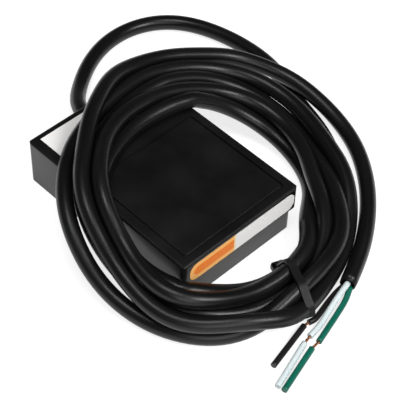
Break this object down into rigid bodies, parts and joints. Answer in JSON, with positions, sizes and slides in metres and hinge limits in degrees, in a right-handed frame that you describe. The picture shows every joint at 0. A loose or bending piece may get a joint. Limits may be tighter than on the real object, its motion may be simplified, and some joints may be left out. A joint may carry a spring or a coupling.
{
  "type": "proximity sensor",
  "caption": "Block-style inductive proximity sensor with a square sensing head on a narrower base and a coiled, tied three-wire cable.",
  "frame": {"origin": "centre of the housing's footprint on the plane of its mounting face", "axes": "+X runs along the housing from the cable end to the labelled end, +Y across it, +Z from the mounting face up to the sensing face"},
  "size_m": [0.2502, 0.1904, 0.045],
  "materials": {
    "black_housing": "satin moulded",
    "face_plastic": "satin moulded",
    "gasket_rubber": "matte",
    "ferrite": "matte",
    "spacer_plastic": "matte",
    "bobbin_plastic": "matte",
    "copper": "bright",
    "board": "gloss",
    "component_black": "matte",
    "terminal_plastic": "satin",
    "potting": "gloss",
    "steel": "plain zinc",
    "brass": "bright",
    "label_orange": "satin film",
    "label_white": "satin film",
    "bush_rubber": "matte",
    "cable_jacket": "satin extruded",
    "clamp_plastic": "matte",
    "wire_black": "satin",
    "wire_white": "satin",
    "wire_green": "satin",
    "tie_plastic": "satin"
  },
  "bodies": {
    "root": {"housing_shell": "black_housing", "base_tray": "black_housing", "end_plate": "black_housing", "face_plate": "face_plastic", "head_gasket": "gasket_rubber", "pot_core": "ferrite", "core_spacer": "spacer_plastic", "coil_bobbin": "bobbin_plastic", "coil_winding": "copper", "circuit_board": "board", "board_parts": "component_black", "terminal_block": "terminal_plastic", "base_potting": "potting", "cover_screws": "steel", "mount_inserts": "brass", "strip_orange": "label_orange", "strip_white": "label_white", "top_label": "label_white", "cable_bush": "bush_rubber", "cable_stub": "cable_jacket", "cable_clamp": "clamp_plastic", "clamp_screws": "steel", "inner_black": "wire_black", "inner_white": "wire_white", "inner_green": "wire_green", "cable_lead": "cable_jacket", "cable_coil": "cable_jacket", "cable_tail": "cable_jacket", "wire_black": "wire_black", "wire_white": "wire_white", "wire_green": "wire_green", "bare_strands": "copper", "tip_black": "wire_black", "tip_white": "wire_white", "tip_green": "wire_green", "cable_tie": "tie_plastic", "tie_head": "tie_plastic"}
  },
  "joints": []
}
